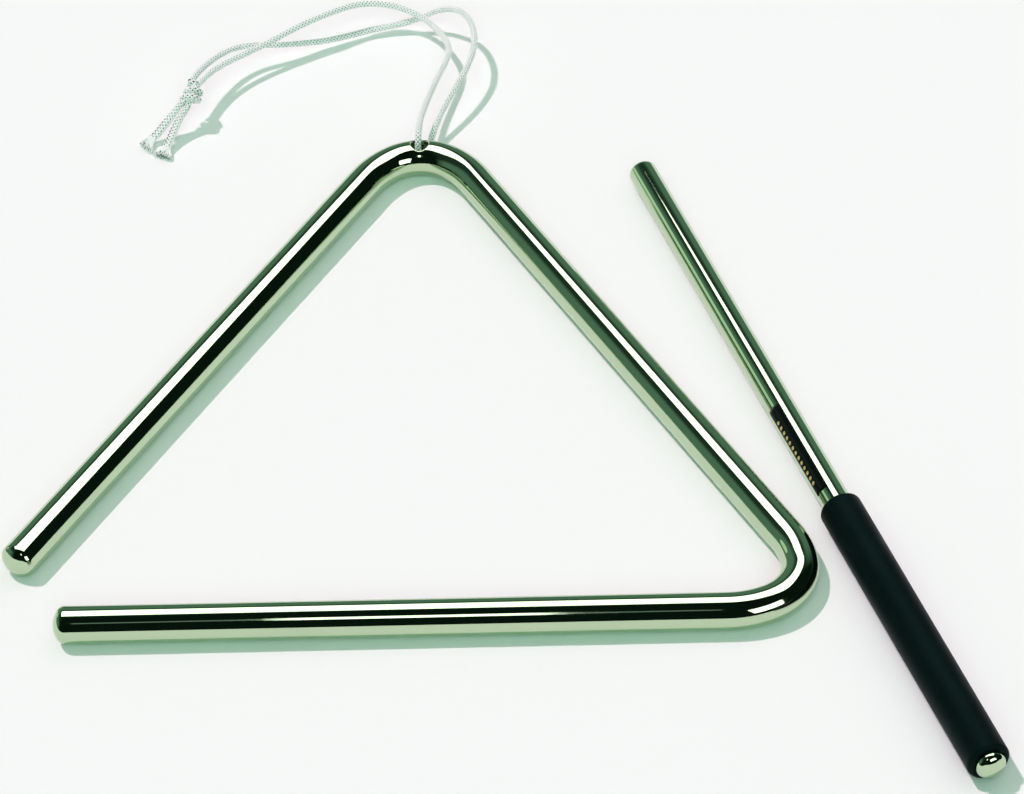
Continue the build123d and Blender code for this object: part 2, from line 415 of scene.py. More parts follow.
bar = {
    "diameter": 8.0,
    "side": 185.5,
    "gap": 20.0,
    "bends": ((20.0, 25.0), (11.6, 70.0), (20.0, 25.0)),  # radius and degrees of each arc of a bend
    "dome": 2.6,
    "hole": 4.0,
    "rim": 0.4,
    "lean": 60.0,            # degrees of the first limb from the base
    "ease": 2.4,             # half the length over which one arc's curvature runs into the next
    "fine": 0.02,            # step of the sum along the centre line
    "bent": 1e-5,            # curvature past which the line counts as bent
    "bendStep": 0.42,        # between rings in a bend, and on the straight
    "limbStep": 3.0,
    "sides": 128,
    "blockRows": 10,         # rings each side of the hole that its own mesh replaces
    "blockColumns": 24,
    "blockHalf": 4.6,
    "skinRows": 8,           # of the hole's mesh: over the skin, round the rim and down the wall
    "rimRows": 11,
    "wallRows": 8,
    "merge": 5e-6,           # metres
}


# Sum of the values up to each of them, by the trapezium rule
def runningSum(values, step):
    return np.concatenate([[0], np.cumsum((values[1:] + values[:-1]) / 2 * step)])


# Centre line in mm from the middle of the top bend. The heading turns evenly along each arc, a raised cosine
# eases it from one arc to the next, and the place is the running sum of the heading
def barCentreLine():
    radii, turns = np.array(bar["bends"]).T
    turns = np.radians(turns)
    bearings = np.concatenate([[0], np.cumsum(turns)])
    setback = np.sum(radii * -np.diff(np.cos(bearings))) / np.sin(bearings[-1])
    limb = bar["side"] - bar["gap"] - bar["dome"] - setback
    runs = np.concatenate([[limb], radii * turns, [bar["side"] - 2 * setback], radii * turns, [limb]])
    ends = np.concatenate([[0], np.cumsum(runs)])
    turned = np.concatenate([[0], np.cumsum(np.concatenate([[0], turns, [0], turns, [0]]))])
    along = np.linspace(0, ends[-1], int(ends[-1] / bar["fine"]) + 1)
    step = along[1]
    half = int(bar["ease"] / step)
    ease = 1 + np.cos(np.linspace(-np.pi, np.pi, 2 * half + 1))
    turned = np.pad(np.interp(along, ends, turned), half, "edge")
    heading = np.radians(bar["lean"]) - np.convolve(turned, ease / ease.sum(), "valid")
    x, y = runningSum(np.cos(heading), step), runningSum(np.sin(heading), step)

    # Rings stand close together in the bends; beside the hole they stand where its own mesh begins
    bent = np.abs(np.gradient(heading, step)) > bar["bent"]
    count = runningSum(np.where(bent, 1 / bar["bendStep"], 1 / bar["limbStep"]), step)
    centre = limb + np.sum(radii * turns) / 2
    gate = centre + np.array((-1, 1)) * bar["blockHalf"]
    low, high = np.interp(gate, along, count)
    before = np.interp(np.linspace(0, low, int(low)), count, along)
    after = np.interp(np.linspace(high, count[-1], int(count[-1] - high)), count, along)
    rings = np.concatenate([before[:-1], np.linspace(*gate, 2 * bar["blockRows"] + 1), after[1:]])
    middle = len(before) - 1 + bar["blockRows"]
    line = np.stack([np.interp(rings, along, values) for values in (x, y)], -1)
    return line - line[middle], np.interp(rings, along, heading), middle


# Bar: rings square to the centre line, a dome of shrinking rings at each end, and the hole let into the
# top bend by a mesh of its own
def makeBar():
    radius = bar["diameter"] / 2
    line, headings, middle = barCentreLine()
    run, rise = domeProfile(radius, bar["dome"])
    ways = np.stack([np.cos(headings), np.sin(headings)], -1)
    centres = np.concatenate([line[0] - ways[0] * run[::-1, None], line, line[-1] + ways[-1] * run[:, None]])
    turns = np.concatenate([np.full(len(run), headings[0]), headings, np.full(len(run), headings[-1])])
    radii = np.concatenate([rise[::-1], np.full(len(line), radius), rise])
    around = roundAngles(bar["sides"])
    outward = np.stack([-np.sin(turns), np.cos(turns)], -1)  # to the left of the heading, out of the bend
    grid = np.empty((len(turns), bar["sides"], 3))
    grid[..., :2] = centres[:, None] + outward[:, None] * (radii[:, None] * np.cos(around))[..., None]
    grid[..., 2] = radius + radii[:, None] * np.sin(around)
    hub = middle + len(run)
    top, bottom = bar["sides"] // 4, 3 * bar["sides"] // 4
    rows, columns = bar["blockRows"], bar["blockColumns"]
    faces, uv = gridFaces(len(turns), bar["sides"], True)
    r, c = np.divmod(np.arange(len(faces)), bar["sides"])
    overHole = (c >= top - columns) & (c < top + columns)
    underHole = (c >= bottom - columns) & (c < bottom + columns)
    inBlock = (r >= hub - rows) & (r < hub + rows) & (overHole | underHole)

    # Torus angles of the block's edge, walked round once: along the bend, then around the bar
    up = np.arange(-columns, columns)
    along = np.arange(-rows, rows)
    lastRow, lastColumn = np.full(2 * columns, rows), np.full(2 * rows, columns)
    edgeRow = np.concatenate([-lastRow, along, lastRow, along[::-1] + 1])
    edgeColumn = np.concatenate([up, lastColumn, up[::-1] + 1, -lastColumn])
    bend = bar["bends"][1][0]
    edgeTurn = edgeRow * bar["blockHalf"] / rows / bend
    edgeLean = edgeColumn / bar["sides"] * 2 * np.pi  # from straight up towards the inside of the bend

    # Point on the bend's skin, from the turn about the bend's middle and the lean round the bar
    def onTorus(turn, lean):
        reach = bend - radius * np.sin(lean)
        height = radius + radius * np.cos(lean)
        return np.stack([reach * np.sin(turn), reach * np.cos(turn) - bend, height], -1)

    # Rim: a ball of the rim's radius rolls round between the wall of the hole and the skin of the bend
    rim = bar["rim"]
    wall = bar["hole"] / 2
    edge = onTorus(edgeTurn, edgeLean)
    compass = unit(edge[:, :2] - holeOffset[:2])
    ball = holeOffset[:2] + compass * (wall + rim)
    fromHub = ball + (0, bend)
    offset = np.linalg.norm(fromHub, axis=1) - bend
    ballHeight = np.sqrt((radius - rim) ** 2 - offset**2)
    touchTurn = np.arctan2(fromHub[:, 0], fromHub[:, 1])
    touchLean = np.arctan2(-offset, ballHeight)
    ballCentre = np.column_stack([ball, radius + ballHeight])
    skin = unit(onTorus(touchTurn, touchLean) - ballCentre)
    inward = np.column_stack([-compass, np.zeros(len(ball))])
    opening = np.arccos(np.sum(skin * inward, -1))[:, None]
    part = np.linspace(0, 1, bar["skinRows"])[:, None]
    skinRings = onTorus(edgeTurn + (touchTurn - edgeTurn) * part, edgeLean + (touchLean - edgeLean) * part)
    part = np.linspace(0, 1, bar["rimRows"])[1:, None, None]
    slerp = (np.sin((1 - part) * opening) * skin + np.sin(part * opening) * inward) / np.sin(opening)
    upper = np.concatenate([skinRings, ballCentre + rim * slerp])
    lower = upper[::-1] * (1, 1, -1) + (0, 0, bar["diameter"])
    share = np.linspace(0, 1, bar["wallRows"])[1:-1, None, None]
    holeGrid = np.concatenate([upper, upper[-1] + (lower[0] - upper[-1]) * share, lower])

    whole = np.concatenate([grid.reshape(-1, 3), holeGrid.reshape(-1, 3)]) * mm + bendMiddle
    holeFaces, holeUv = gridFaces(holeGrid.shape[0], holeGrid.shape[1], True, len(grid) * bar["sides"])
    return meshPiece("triangleBar", whole, np.concatenate([faces[~inBlock], holeFaces]),
                     np.concatenate([uv[~inBlock], holeUv]), merge=bar["merge"])


settle(makeBar(), "triangle", "triangle_bar", steel)

# Beater: lengths in mm along its axis from the tip
beater = {
    "rod": 6.4,
    "length": 203.0,
    "dome": 2.0,
    "grip": 9.2,
    "bore": 6.44,
    "gripFrom": 120.9,
    "gripTo": 200.4,
    "gripEdge": 0.8,
    "labelFrom": 88.5,
    "labelTo": 116.5,
    "labelWrap": 58.0,
    "labelRoll": 49.0,  # degrees from straight up, towards the triangle
    "labelSkin": 0.1,
    "clearance": 0.02,
    "sides": 112,
    "rodRows": 81,      # rings along each piece
    "gripRows": 60,
    "boreRows": 12,
    "edgeRows": 9,
    "labelRows": 41,
    "labelColumns": 33,
}


# Point at a run along the axis, a radius and an angle from straight up towards the triangle
def aboutBeater(run, radius, angle):
    handle = mounts["beater_handle"]
    axis = unit(np.array(handle["axis"]))
    side = unit(np.cross(axis, (0, 0, 1)))  # away to the triangle's side
    up = np.cross(side, axis)
    middle = (beater["gripFrom"] + beater["gripTo"]) / 2
    tip = np.array(handle["pos_m"]) - axis * middle * mm
    run, radius, angle = np.broadcast_arrays(run, radius, angle)
    spoke = np.cos(angle)[..., None] * up + np.sin(angle)[..., None] * side
    return tip + (run[..., None] * axis + radius[..., None] * spoke) * mm


# Rod: a profile of (run, radius) turned once round the axis, domed at both ends
def makeRod():
    run, rise = domeProfile(beater["rod"] / 2, beater["dome"])
    straight = np.linspace(beater["dome"], beater["length"] - beater["dome"], beater["rodRows"])
    runs = np.concatenate([(beater["dome"] - run)[::-1], straight, beater["length"] - beater["dome"] + run])
    radii = np.concatenate([rise[::-1], np.full_like(straight, beater["rod"] / 2), rise])
    around = roundAngles(beater["sides"])
    return makePiece("beaterRod", [aboutBeater(runs[:, None], radii[:, None], around)], [True])


# Sleeve: a closed profile turned round the axis; quarter rounds at its edges and a bore through it
def makeGrip():
    edge, outer, bore = beater["gripEdge"], beater["grip"] / 2, beater["bore"] / 2
    start, stop = beater["gripFrom"], beater["gripTo"]
    quarter = np.linspace(0, np.pi / 2, beater["edgeRows"])
    front = np.stack([start + edge - edge * np.cos(quarter), outer - edge + edge * np.sin(quarter)], -1)
    back = np.stack([stop - edge + edge * np.sin(quarter), outer - edge + edge * np.cos(quarter)], -1)
    barrel = np.linspace(start + edge, stop - edge, beater["gripRows"])[1:-1]
    barrel = np.stack([barrel, np.full_like(barrel, outer)], -1)
    inside = np.linspace(stop, start, beater["boreRows"])
    inside = np.stack([inside, np.full_like(inside, bore)], -1)
    profile = np.concatenate([front, barrel, back, inside, front[:1]])
    around = roundAngles(beater["sides"])
    grid = aboutBeater(profile[:, :1], profile[:, 1:], around)
    return makePiece("beaterGrip", [grid], [True])


# Film: an outer and an inner sheet of part of a turn, with narrow sheets closing their four edges
def makeLabel():
    inner = beater["rod"] / 2 + beater["clearance"]
    outer = inner + beater["labelSkin"]
    half = np.radians(beater["labelWrap"]) / 2
    angle = np.radians(beater["labelRoll"]) + np.linspace(-half, half, beater["labelColumns"])
    run = np.linspace(beater["labelFrom"], beater["labelTo"], beater["labelRows"])[:, None]
    skin = np.array([[outer], [inner]])
    grids = [
        aboutBeater(run, outer, angle), aboutBeater(run, inner, angle),
        aboutBeater(run, skin.T, angle[0]), aboutBeater(run, skin.T, angle[-1]),
        aboutBeater(run[0], skin, angle), aboutBeater(run[-1], skin, angle),
    ]
    return makePiece("beaterLabel", grids, [False] * len(grids))


settle(makeRod(), "beater", "beater_rod", steel)
settle(makeGrip(), "beater", "beater_grip", rubber)
settle(makeLabel(), "beater", "beater_label", printedFilm)

# Cord routes in metres from the middle of the top bend at table level
upperRoute = [
    (-0.0004, 0.0007, 0.0046), (-0.0004, 0.0007, 0.0064), (-0.00035, 0.0015, 0.0081),
    (-0.00025, 0.0033, 0.00885), (-0.0002, 0.0058, 0.00865), (0.0001, 0.0095, 0.00815),
    (0.0013, 0.0160, 0.00765), (0.0032, 0.0235, 0.0074), (0.0053, 0.0304, 0.0070),
    (0.0061, 0.0362, 0.0064), (0.0040, 0.0428, 0.0056), (-0.0010, 0.0498, 0.00545),
    (-0.0082, 0.0530, 0.0066), (-0.0160, 0.0516, 0.0082), (-0.0228, 0.0476, 0.0086),
    (-0.0296, 0.0439, 0.0080), (-0.0356, 0.0400, 0.0070), (-0.0412, 0.0362, 0.0067),
    (-0.0464, 0.0319, 0.0072), (-0.0504, 0.0266, 0.0079), (-0.0523, 0.0223, 0.0083),
]
lowerRoute = [
    (0.000957, 0.004358, 0.00103), (0.00163, 0.00616, 0.00188), (0.0027, 0.0095, 0.00345),
    (0.0047, 0.0144, 0.0058), (0.0077, 0.0203, 0.0075), (0.0105, 0.0266, 0.0085),
    (0.0122, 0.0334, 0.0093), (0.0116, 0.0410, 0.0095), (0.0086, 0.0476, 0.0088),
    (0.0032, 0.0510, 0.0064), (-0.0018, 0.0508, 0.00365), (-0.0072, 0.0506, 0.0022),
    (-0.0134, 0.0494, 0.0018), (-0.0190, 0.0472, 0.0018), (-0.0246, 0.0450, 0.0024),
    (-0.0304, 0.0424, 0.0039), (-0.0360, 0.0407, 0.0051), (-0.0410, 0.0394, 0.0064),
    (-0.0456, 0.0365, 0.0075), (-0.0492, 0.0319, 0.0083), (-0.0520, 0.0271, 0.0090),
    (-0.0536, 0.0229, 0.0093),
]
tailLeftRoute = [
    (-0.0552, 0.0179, 0.0079), (-0.0570, 0.0162, 0.0061), (-0.0592, 0.0145, 0.0041),
    (-0.0612, 0.0130, 0.0023), (-0.0626, 0.0119, 0.0014),
]
tailRightRoute = [
    (-0.0542, 0.0169, 0.0067), (-0.0558, 0.0152, 0.0052), (-0.0571, 0.0133, 0.0036),
    (-0.0582, 0.0110, 0.0022), (-0.0591, 0.0086, 0.0014),
]
tipLeftFoot = (-0.0638, 0.0103, 0.0008)
tipRightFoot = (-0.0599, 0.0060, 0.0008)
pinchProfile = [  # run out from the hole and height, where the cord is squeezed under the bar
    (0, 0.0046), (0, 0.0033), (0.00015, 0.0020), (0.00062, 0.00095), (0.0015, 0.00038),
    (0.0024, 0.00045), (0.0032, 0.00072), (0.0039, 0.00103),
]
cord = {
    "diameter": 0.0016,
    "upperLength": 0.118,  # of the two strands between the hole and the knot
    "lowerLength": 0.1227,
    "pathEvery": 8,        # points of a strand's line between those that are declared
    "splineSteps": 24,
    "carriers": 4,         # yarns that wind each way
    "lay": 0.0035,         # length of one full turn of a yarn
    "step": 0.00011,       # between rings of a yarn
    "yarnHalfWidth": 0.00026,
    "yarnHalfThick": 0.00016,
    "weaveDepth": 0.00010,
    "sides": 6,
    "coreSides": 10,
    "coreEvery": 4,        # rings of a yarn to one of the core
    "pinchWidth": 1.04,    # shares of the braid's own radius where it is squeezed
    "pinchHeight": 0.31,
    "pinchEnd": (0.75, 1.0),  # stretch of the turn over which it fills out again
    "pinchLean": 0.9,
    "tailWidth": 1.55,     # the same shares where a tail has loosened
    "tailHeight": 0.72,
    "tailEnd": (0.0, 0.7),    # stretch of a tail over which it loosens
}


# Points along a route's own spline, evenly spaced: NURBS control points, read back as Blender draws them
def splinePoints(points, step):
    data = bpy.data.curves.new("route", "CURVE")
    data.dimensions = "3D"
    data.resolution_u = cord["splineSteps"]
    spline = data.splines.new("NURBS")
    spline.points.add(len(points) - 1)
    controls = np.column_stack([np.asarray(points, float), np.ones(len(points))])
    spline.points.foreach_set("co", controls.ravel())
    spline.order_u = 3
    spline.use_endpoint_u = True
    holder = addObject("route", data)
    bpy.context.view_layer.update()
    mesh = bpy.data.meshes.new_from_object(holder)
    drawn = np.empty(len(mesh.vertices) * 3)
    mesh.vertices.foreach_get("co", drawn)
    drawn = drawn.reshape(-1, 3)
    bpy.data.objects.remove(holder)
    bpy.data.curves.remove(data)
    bpy.data.meshes.remove(mesh)
    travelled = np.concatenate([[0], np.cumsum(np.linalg.norm(np.diff(drawn, axis=0), axis=1))])
    even = np.linspace(0, travelled[-1], max(int(round(travelled[-1] / step)), 4) + 1)
    return np.stack([np.interp(even, travelled, drawn[:, axis]) for axis in range(3)], -1), even


# Two cross directions at each point, which follow the route without twisting about it. The first side is
# square to the reference; the twist of the plain cross products is summed up and turned back
def routeFrame(points, reference):
    along = unit(np.gradient(points, axis=0))
    side = unit(np.cross(along, reference))
    lift = np.cross(side, along)
    twist = np.arctan2(np.sum(side[:-1] * lift[1:], -1), np.sum(side[:-1] * side[1:], -1))
    turn = np.concatenate([[0], np.cumsum(twist)])[:, None]
    return np.cos(turn) * side + np.sin(turn) * lift, np.cos(turn) * lift - np.sin(turn) * side


# Braid: yarn k winds at angle +-turn * s + k * spacing, on a radius that rises and falls as it crosses the
# others. Each yarn is a flat oval tube along that helix; its first and last rings close to a point. The rise
# of a point is how far out it lies, from -1 on the inside of a dip to 1 on a crown
def braidGrids(points, travelled, frames, widthShare, heightShare):
    side, lift = frames
    carriers = cord["carriers"]
    hands = np.repeat([1.0, -1.0], carriers)[:, None]
    spots = np.tile(np.arange(carriers), 2)[:, None] * 2 * np.pi / carriers
    distance = travelled[None, :]
    angle = hands * 2 * np.pi * distance / cord["lay"] + spots
    weave = hands * np.cos(2 * np.pi * carriers * distance / cord["lay"])
    middle = cord["diameter"] / 2 - cord["yarnHalfThick"] - cord["weaveDepth"]
    radius = middle + cord["weaveDepth"] * weave

    # Spoke of a given angle and radius, flattened where the cord is
    def flatten(a, r):
        wide, high = np.cos(a) * r * widthShare, np.sin(a) * r * heightShare
        return wide[..., None] * side + high[..., None] * lift

    spine = points + flatten(angle, radius)
    heading = unit(np.gradient(spine, axis=1))
    outward = unit(flatten(angle, np.ones_like(angle)))
    across = unit(np.cross(outward, heading))
    outward = np.cross(heading, across)
    turn = roundAngles(cord["sides"])
    close = np.ones(points.shape[0])
    close[[0, -1]] = 0
    spread = np.reshape(np.sqrt(widthShare), (-1, 1, 1))  # yarns spread where the cord does
    broad = cord["yarnHalfWidth"] * spread
    oval = (
        np.cos(turn)[:, None] * broad * across[:, :, None]
        + np.sin(turn)[:, None] * cord["yarnHalfThick"] * outward[:, :, None]
    )
    deep, thick = cord["weaveDepth"], cord["yarnHalfThick"]
    # A low rise, under a crossing yarn and on the side towards the core, gets painted shade in the finish
    rises = (deep * weave[..., None] + thick * np.sin(turn)) / (deep + thick)
    return list(spine[:, :, None] + oval * close[None, :, None, None]), list(rises)


# Core: a plain round tube inside the braid, closed at both ends
def coreGrid(points, frames, radius, widthShare, heightShare):
    side, lift = frames
    turn = roundAngles(cord["coreSides"])
    close = np.ones(len(points))
    close[[0, -1]] = 0
    across = (np.cos(turn)[:, None] * side[:, None] * np.reshape(widthShare, (-1, 1, 1))
              + np.sin(turn)[:, None] * lift[:, None] * np.reshape(heightShare, (-1, 1, 1)))
    return points[:, None] + across * radius * close[:, None, None]


reference = unit(np.array((0.7, 0.0, -0.7)))  # a strand's first side is square to this
coreRadius = cord["diameter"] / 2 - 2 * cord["yarnHalfThick"]


# Yarns and core along one route, with their rises and UV scales; shares give width and height along it
def strandGrids(route, reference, widthShare, heightShare):
    points, travelled = splinePoints(bendMiddle + np.array(route), cord["step"])
    frames = routeFrame(points, reference)
    wide, high = widthShare(travelled / travelled[-1]), heightShare(travelled / travelled[-1])
    grids, rises = braidGrids(points, travelled, frames, wide, high)
    every = slice(None, None, cord["coreEvery"])
    grids.append(coreGrid(points[every], [f[every] for f in frames], coreRadius, wide[every], high[every]))
    # Rise 0 colours the whole core in the dark painted shade, which shows through the gaps between the yarns
    rises.append(np.zeros(grids[-1].shape[:2]))
    grids = [np.maximum(grid, (-np.inf, -np.inf, 0.0)) for grid in grids]  # the table stops it
    return grids, rises, [np.array((1.0, travelled[-1] / mm))] * len(grids), points, travelled[-1]


# One strand as a piece, with the points of its line and its length
def makeStrand(name, route, reference=reference, widthShare=np.ones_like, heightShare=np.ones_like):
    grids, rises, uvScales, points, length = strandGrids(route, reference, widthShare, heightShare)
    return makePiece(name, grids, [True] * len(grids), uvScales, rises), points, length


# All stretches of the cord ride on one body and have one finish
def settleCord(piece, node):
    settle(piece, "hanging_cord", node, cordYarn)


upper, upperPath, upperLength = makeStrand("cordUpper", upperRoute)
lower, lowerPath, lowerLength = makeStrand("cordLower", lowerRoute)
settleCord(upper, "cord_upper")
settleCord(lower, "cord_lower")

# The squeezed turn under the bar lies in one upright plane, and fills out again towards the lower strand
start = np.array(upperRoute[0])
out = unit(np.array(lowerRoute[0])[:2] - start[:2])
pinchRoute = [(start[0] + out[0] * run, start[1] + out[1] * run, height) for run, height in pinchProfile]
bight, _, bightLength = makeStrand(
    "cordBight", pinchRoute, np.array((out[0], out[1], cord["pinchLean"])),
    lambda t: 1 + (cord["pinchWidth"] - 1) * (1 - smoothStep(t, *cord["pinchEnd"])),
    lambda t: cord["pinchHeight"] + (1 - cord["pinchHeight"]) * smoothStep(t, *cord["pinchEnd"]))
settleCord(bight, "cord_bight")


# A tail loosens and flattens away from the knot
def makeTail(name, route):
    return makeStrand(
        name, route, np.array((0.0, 0.0, 1.0)),
        lambda t: 1 + (cord["tailWidth"] - 1) * smoothStep(t, *cord["tailEnd"]),
        lambda t: 1 + (cord["tailHeight"] - 1) * smoothStep(t, *cord["tailEnd"]))


tailLeft, _, tailLeftLength = makeTail("cordTailLeft", tailLeftRoute)
tailRight, _, tailRightLength = makeTail("cordTailRight", tailRightRoute)
settleCord(tailLeft, "cord_tail_left")
settleCord(tailRight, "cord_tail_right")
print("cord lengths", upperLength, lowerLength, bightLength, tailLeftLength, tailRightLength)

knotShape = {
    "wrapRadii": (1.56, 1.76),  # of the two strands' windings
    "turns": 1.25,
    "rise": 2.8,                # of one strand's winding
    "heights": (1.0, -1.1),     # of the middles of the two windings
    "firstAngle": 200.0,
    "nextAngle": 25.0,          # the second winding starts this much further on
    "coreAngle": 140.0,         # where the first strand goes down the middle; the second is opposite
    "pointsPerTurn": 14,
    "waver": 0.06,              # share by which a winding's radius wavers, and how fast
    "waverRate": 2.3,
    "inTurns": (0.0, -0.6),     # on the way in: radians from the core angle, heights and radii
    "inHeights": (2.2, -0.6),
    "inRadii": (0.7, 0.8),
    "outTurns": (-0.7, -1.0, -1.0),  # on the way out: radians past the winding, drop, heights and radii
    "outDrop": 0.2,
    "outHeights": (0.0, -2.0),
    "outRadii": (1.15, 0.45, 0.6),
    "lean": 0.37,               # of the braid's reference towards the knot's axis
    "shift": (0.0008, -0.0003, 0.0),
}


# Knot: each strand runs down the middle, comes out below, winds up round the pair in a helix of wavering
# radius and tucks back down the middle
def makeKnot():
    strandEnds = np.array([upperRoute[-1], lowerRoute[-1]])
    tailStarts = np.array([tailLeftRoute[0], tailRightRoute[0]])
    centre = (strandEnds.mean(0) + tailStarts.mean(0)) / 2 + knotShape["shift"]
    axis = unit(strandEnds.mean(0) - tailStarts.mean(0))
    right = unit(np.cross(axis, (0, 0, 1)))
    front = np.cross(right, axis)
    grids, rises, uvScales = [], [], []
    for strand, (entry, leave) in enumerate(zip(strandEnds, tailStarts)):
        count = int(knotShape["turns"] * knotShape["pointsPerTurn"])
        t = np.linspace(0, 1, count)
        begin = np.radians(knotShape["firstAngle"] + knotShape["nextAngle"] * strand)
        turn = begin - 2 * np.pi * knotShape["turns"] * t
        lift = knotShape["rise"] * (t - 0.5) + knotShape["heights"][strand]
        waver = knotShape["waver"] * np.sin(knotShape["waverRate"] * turn + strand)
        reach = knotShape["wrapRadii"][strand] * (1 + waver)
        core = np.radians(knotShape["coreAngle"] + 180 * strand)
        turn = np.concatenate([core + np.array(knotShape["inTurns"]), turn,
                               turn[-1] + np.array(knotShape["outTurns"])])
        lift = np.concatenate([knotShape["inHeights"], lift, [lift[-1] - knotShape["outDrop"]],
                               knotShape["outHeights"]])
        reach = np.concatenate([knotShape["inRadii"], reach, knotShape["outRadii"]])
        inside = centre + mm * (lift[:, None] * axis + (reach * np.cos(turn))[:, None] * right
                                + (reach * np.sin(turn))[:, None] * front)
        route = np.concatenate([[entry], inside, [leave]])
        strandParts = strandGrids(route, reference + knotShape["lean"] * axis, np.ones_like, np.ones_like)
        grids += strandParts[0]
        rises += strandParts[1]
        uvScales += strandParts[2]
    return makePiece("cordKnot", grids, [True] * len(grids), uvScales, rises)


tipShape = {
    "strands": 44,
    "run": 3.6,
    "ragged": 1.0,
    "inset": 0.5,           # how far inside the tail a strand begins
    "bendRun": (-0.3, 2.4),  # stretch over which it turns from the tail's way to the foot's
    "spread": 2.05,         # half width and half height of the mouth
    "flat": 0.78,
    "layers": (0.16, 0.10),  # depth of the outer strands in the tail, and how much deeper the inner ones lie
    "half": 0.15,           # half thickness of a strand, and the share that it loses towards its end
    "thinning": 0.45,
    "rings": 26,
    "sides": 6,
    "uneven": 0.3,          # how far a strand stands off its even place, in spaces between strands
    "stray": 0.22,
    "strayHeight": 0.5,     # share of the stray that goes up or down
    "twist": 0.9,
    "rise": (0.65, 0.6),    # middle and swing of the rise round a strand; low, and so painted shade, on the side facing the hollow
}


# Cut end: the yarns part into finer strands, a ring of them that flares to a hollow mouth and ends raggedly.
# Each strand is a fine tube, white on its outer side, with dark painted shade on the side that faces the
# hollow
def makeTip(name, tail, foot, seed):
    random = np.random.default_rng(seed)
    start, last = bendMiddle + np.array(tail[-1]), bendMiddle + np.array(foot)
    begin = unit(np.array(tail[-1]) - np.array(tail[-2]))
    finish = unit(last - start)
    side = unit(np.cross(begin, (0, 0, 1)))
    strands = tipShape["strands"]
    off = random.uniform(-tipShape["uneven"], tipShape["uneven"], strands)
    angle = (np.arange(strands) + off) / strands * 2 * np.pi
    length = tipShape["run"] - tipShape["ragged"] * random.random(strands)
    stray = random.normal(0, tipShape["stray"], (strands, 2))
    t = np.linspace(0, 1, tipShape["rings"])[None, :]
    run = t * length[:, None] - tipShape["inset"]
    blend = smoothStep(run, *tipShape["bendRun"])
    middle = start + mm * run[..., None] * unit(begin + (finish - begin) * blend[..., None])
    odd = (np.arange(strands) % 2)[:, None]
    twist = angle[:, None] + tipShape["twist"] * t * np.where(odd, 1, -1)
    depth, deeper = tipShape["layers"]
    base = cord["diameter"] / mm / 2 - depth - deeper * odd
    wide, high = base * cord["tailWidth"], base * cord["tailHeight"]
    wide = wide + (tipShape["spread"] - wide) * blend + stray[:, :1] * t**2
    high = high + (tipShape["flat"] - high) * blend + tipShape["strayHeight"] * stray[:, 1:] * t**2
    up = unit(np.cross(side, finish))
    spoke = (wide * np.cos(twist))[..., None] * side + (high * np.sin(twist))[..., None] * up
    spine = middle + mm * spoke
    spine[..., 2] = np.maximum(spine[..., 2], tipShape["half"] * mm)
    heading = unit(np.gradient(spine, axis=1))
    across = unit(np.cross(heading, spoke))
    outward = np.cross(across, heading)
    taper = np.where((t == 0) | (t == 1), 0, 1 - tipShape["thinning"] * t**3)
    ring = roundAngles(tipShape["sides"])
    oval = np.cos(ring)[:, None] * across[:, :, None] + np.sin(ring)[:, None] * outward[:, :, None]
    tubes = spine[:, :, None] + oval * (tipShape["half"] * mm * taper)[..., None, None]
    # Painted shade: the rise is lowest on the side of a strand that faces the hollow
    level, swing = tipShape["rise"]
    rises = np.broadcast_to(level + swing * np.sin(ring), tubes.shape[:3])
    uvScales = [np.array((1.0, tipShape["run"]))] * strands
    return makePiece(name, list(tubes), [True] * strands, uvScales, list(rises))


knot = makeKnot()
settleCord(knot, "cord_knot")
tipLeft = makeTip("cordTipLeft", tailLeftRoute, tipLeftFoot, 11)
tipRight = makeTip("cordTipRight", tailRightRoute, tipRightFoot, 23)
settleCord(tipLeft, "cord_tip_left")
settleCord(tipRight, "cord_tip_right")

# Floor and light: the lamps and the fill add up to plain white, and leave green where the key is shut out
stage = {
    "floor": 30.0,
    "floorColour": (0.955, 0.975, 0.96, 1),
    "key": (-0.46, 0.25, 1.0),  # each lamp: where it stands, its colour, its level and its width in degrees
    "keyColour": (1.0, 0.726, 0.877),
    "keyLevel": 1.88,
    "keySpread": 3.0,
    "soft": (0.35, 0.45, 1.0),
    "softColour": (1.0, 0.70, 0.85),
    "softLevel": 0.362,
    "softSpread": 60.0,
    "front": (0.054, -1.0, 0.932),
    "frontColour": (0.545, 1.0, 0.773),
    "frontLevel": 1.015,
    "frontSpread": 40.0,
    "fill": (0.22, 0.295, 0.25, 1),   # what the world sheds on dull surfaces
    "pale": (0.95, 0.96, 0.95, 1),    # what the camera and mirrors see of it
    "cardSides": 128,
}


# Material that only glows, with its tree and its emission node
def glowMaterial(name, colour=(1, 1, 1, 1), strength=1.0):
    material = bpy.data.materials.new(name)
    material.use_nodes = True
    tree = material.node_tree
    tree.nodes.clear()
    glow = addNode(tree, "ShaderNodeEmission", {"Color": colour, "Strength": strength})
    out = tree.nodes.new("ShaderNodeOutputMaterial")
    tree.links.new(glow.outputs[0], out.inputs["Surface"])
    return material, tree, glow


# Marks an object as stage that only mirrors see
def mirrorOnly(thing):
    for ray in ("camera", "diffuse", "transmission", "volume_scatter", "shadow"):
        setattr(thing, "visible_" + ray, False)


# One flat face with the given outline
def flatPiece(name, outline, material):
    mesh = bpy.data.meshes.new(name)
    mesh.from_pydata(outline, [], [list(range(len(outline)))])
    mesh.materials.append(material)
    return addObject(name, mesh)


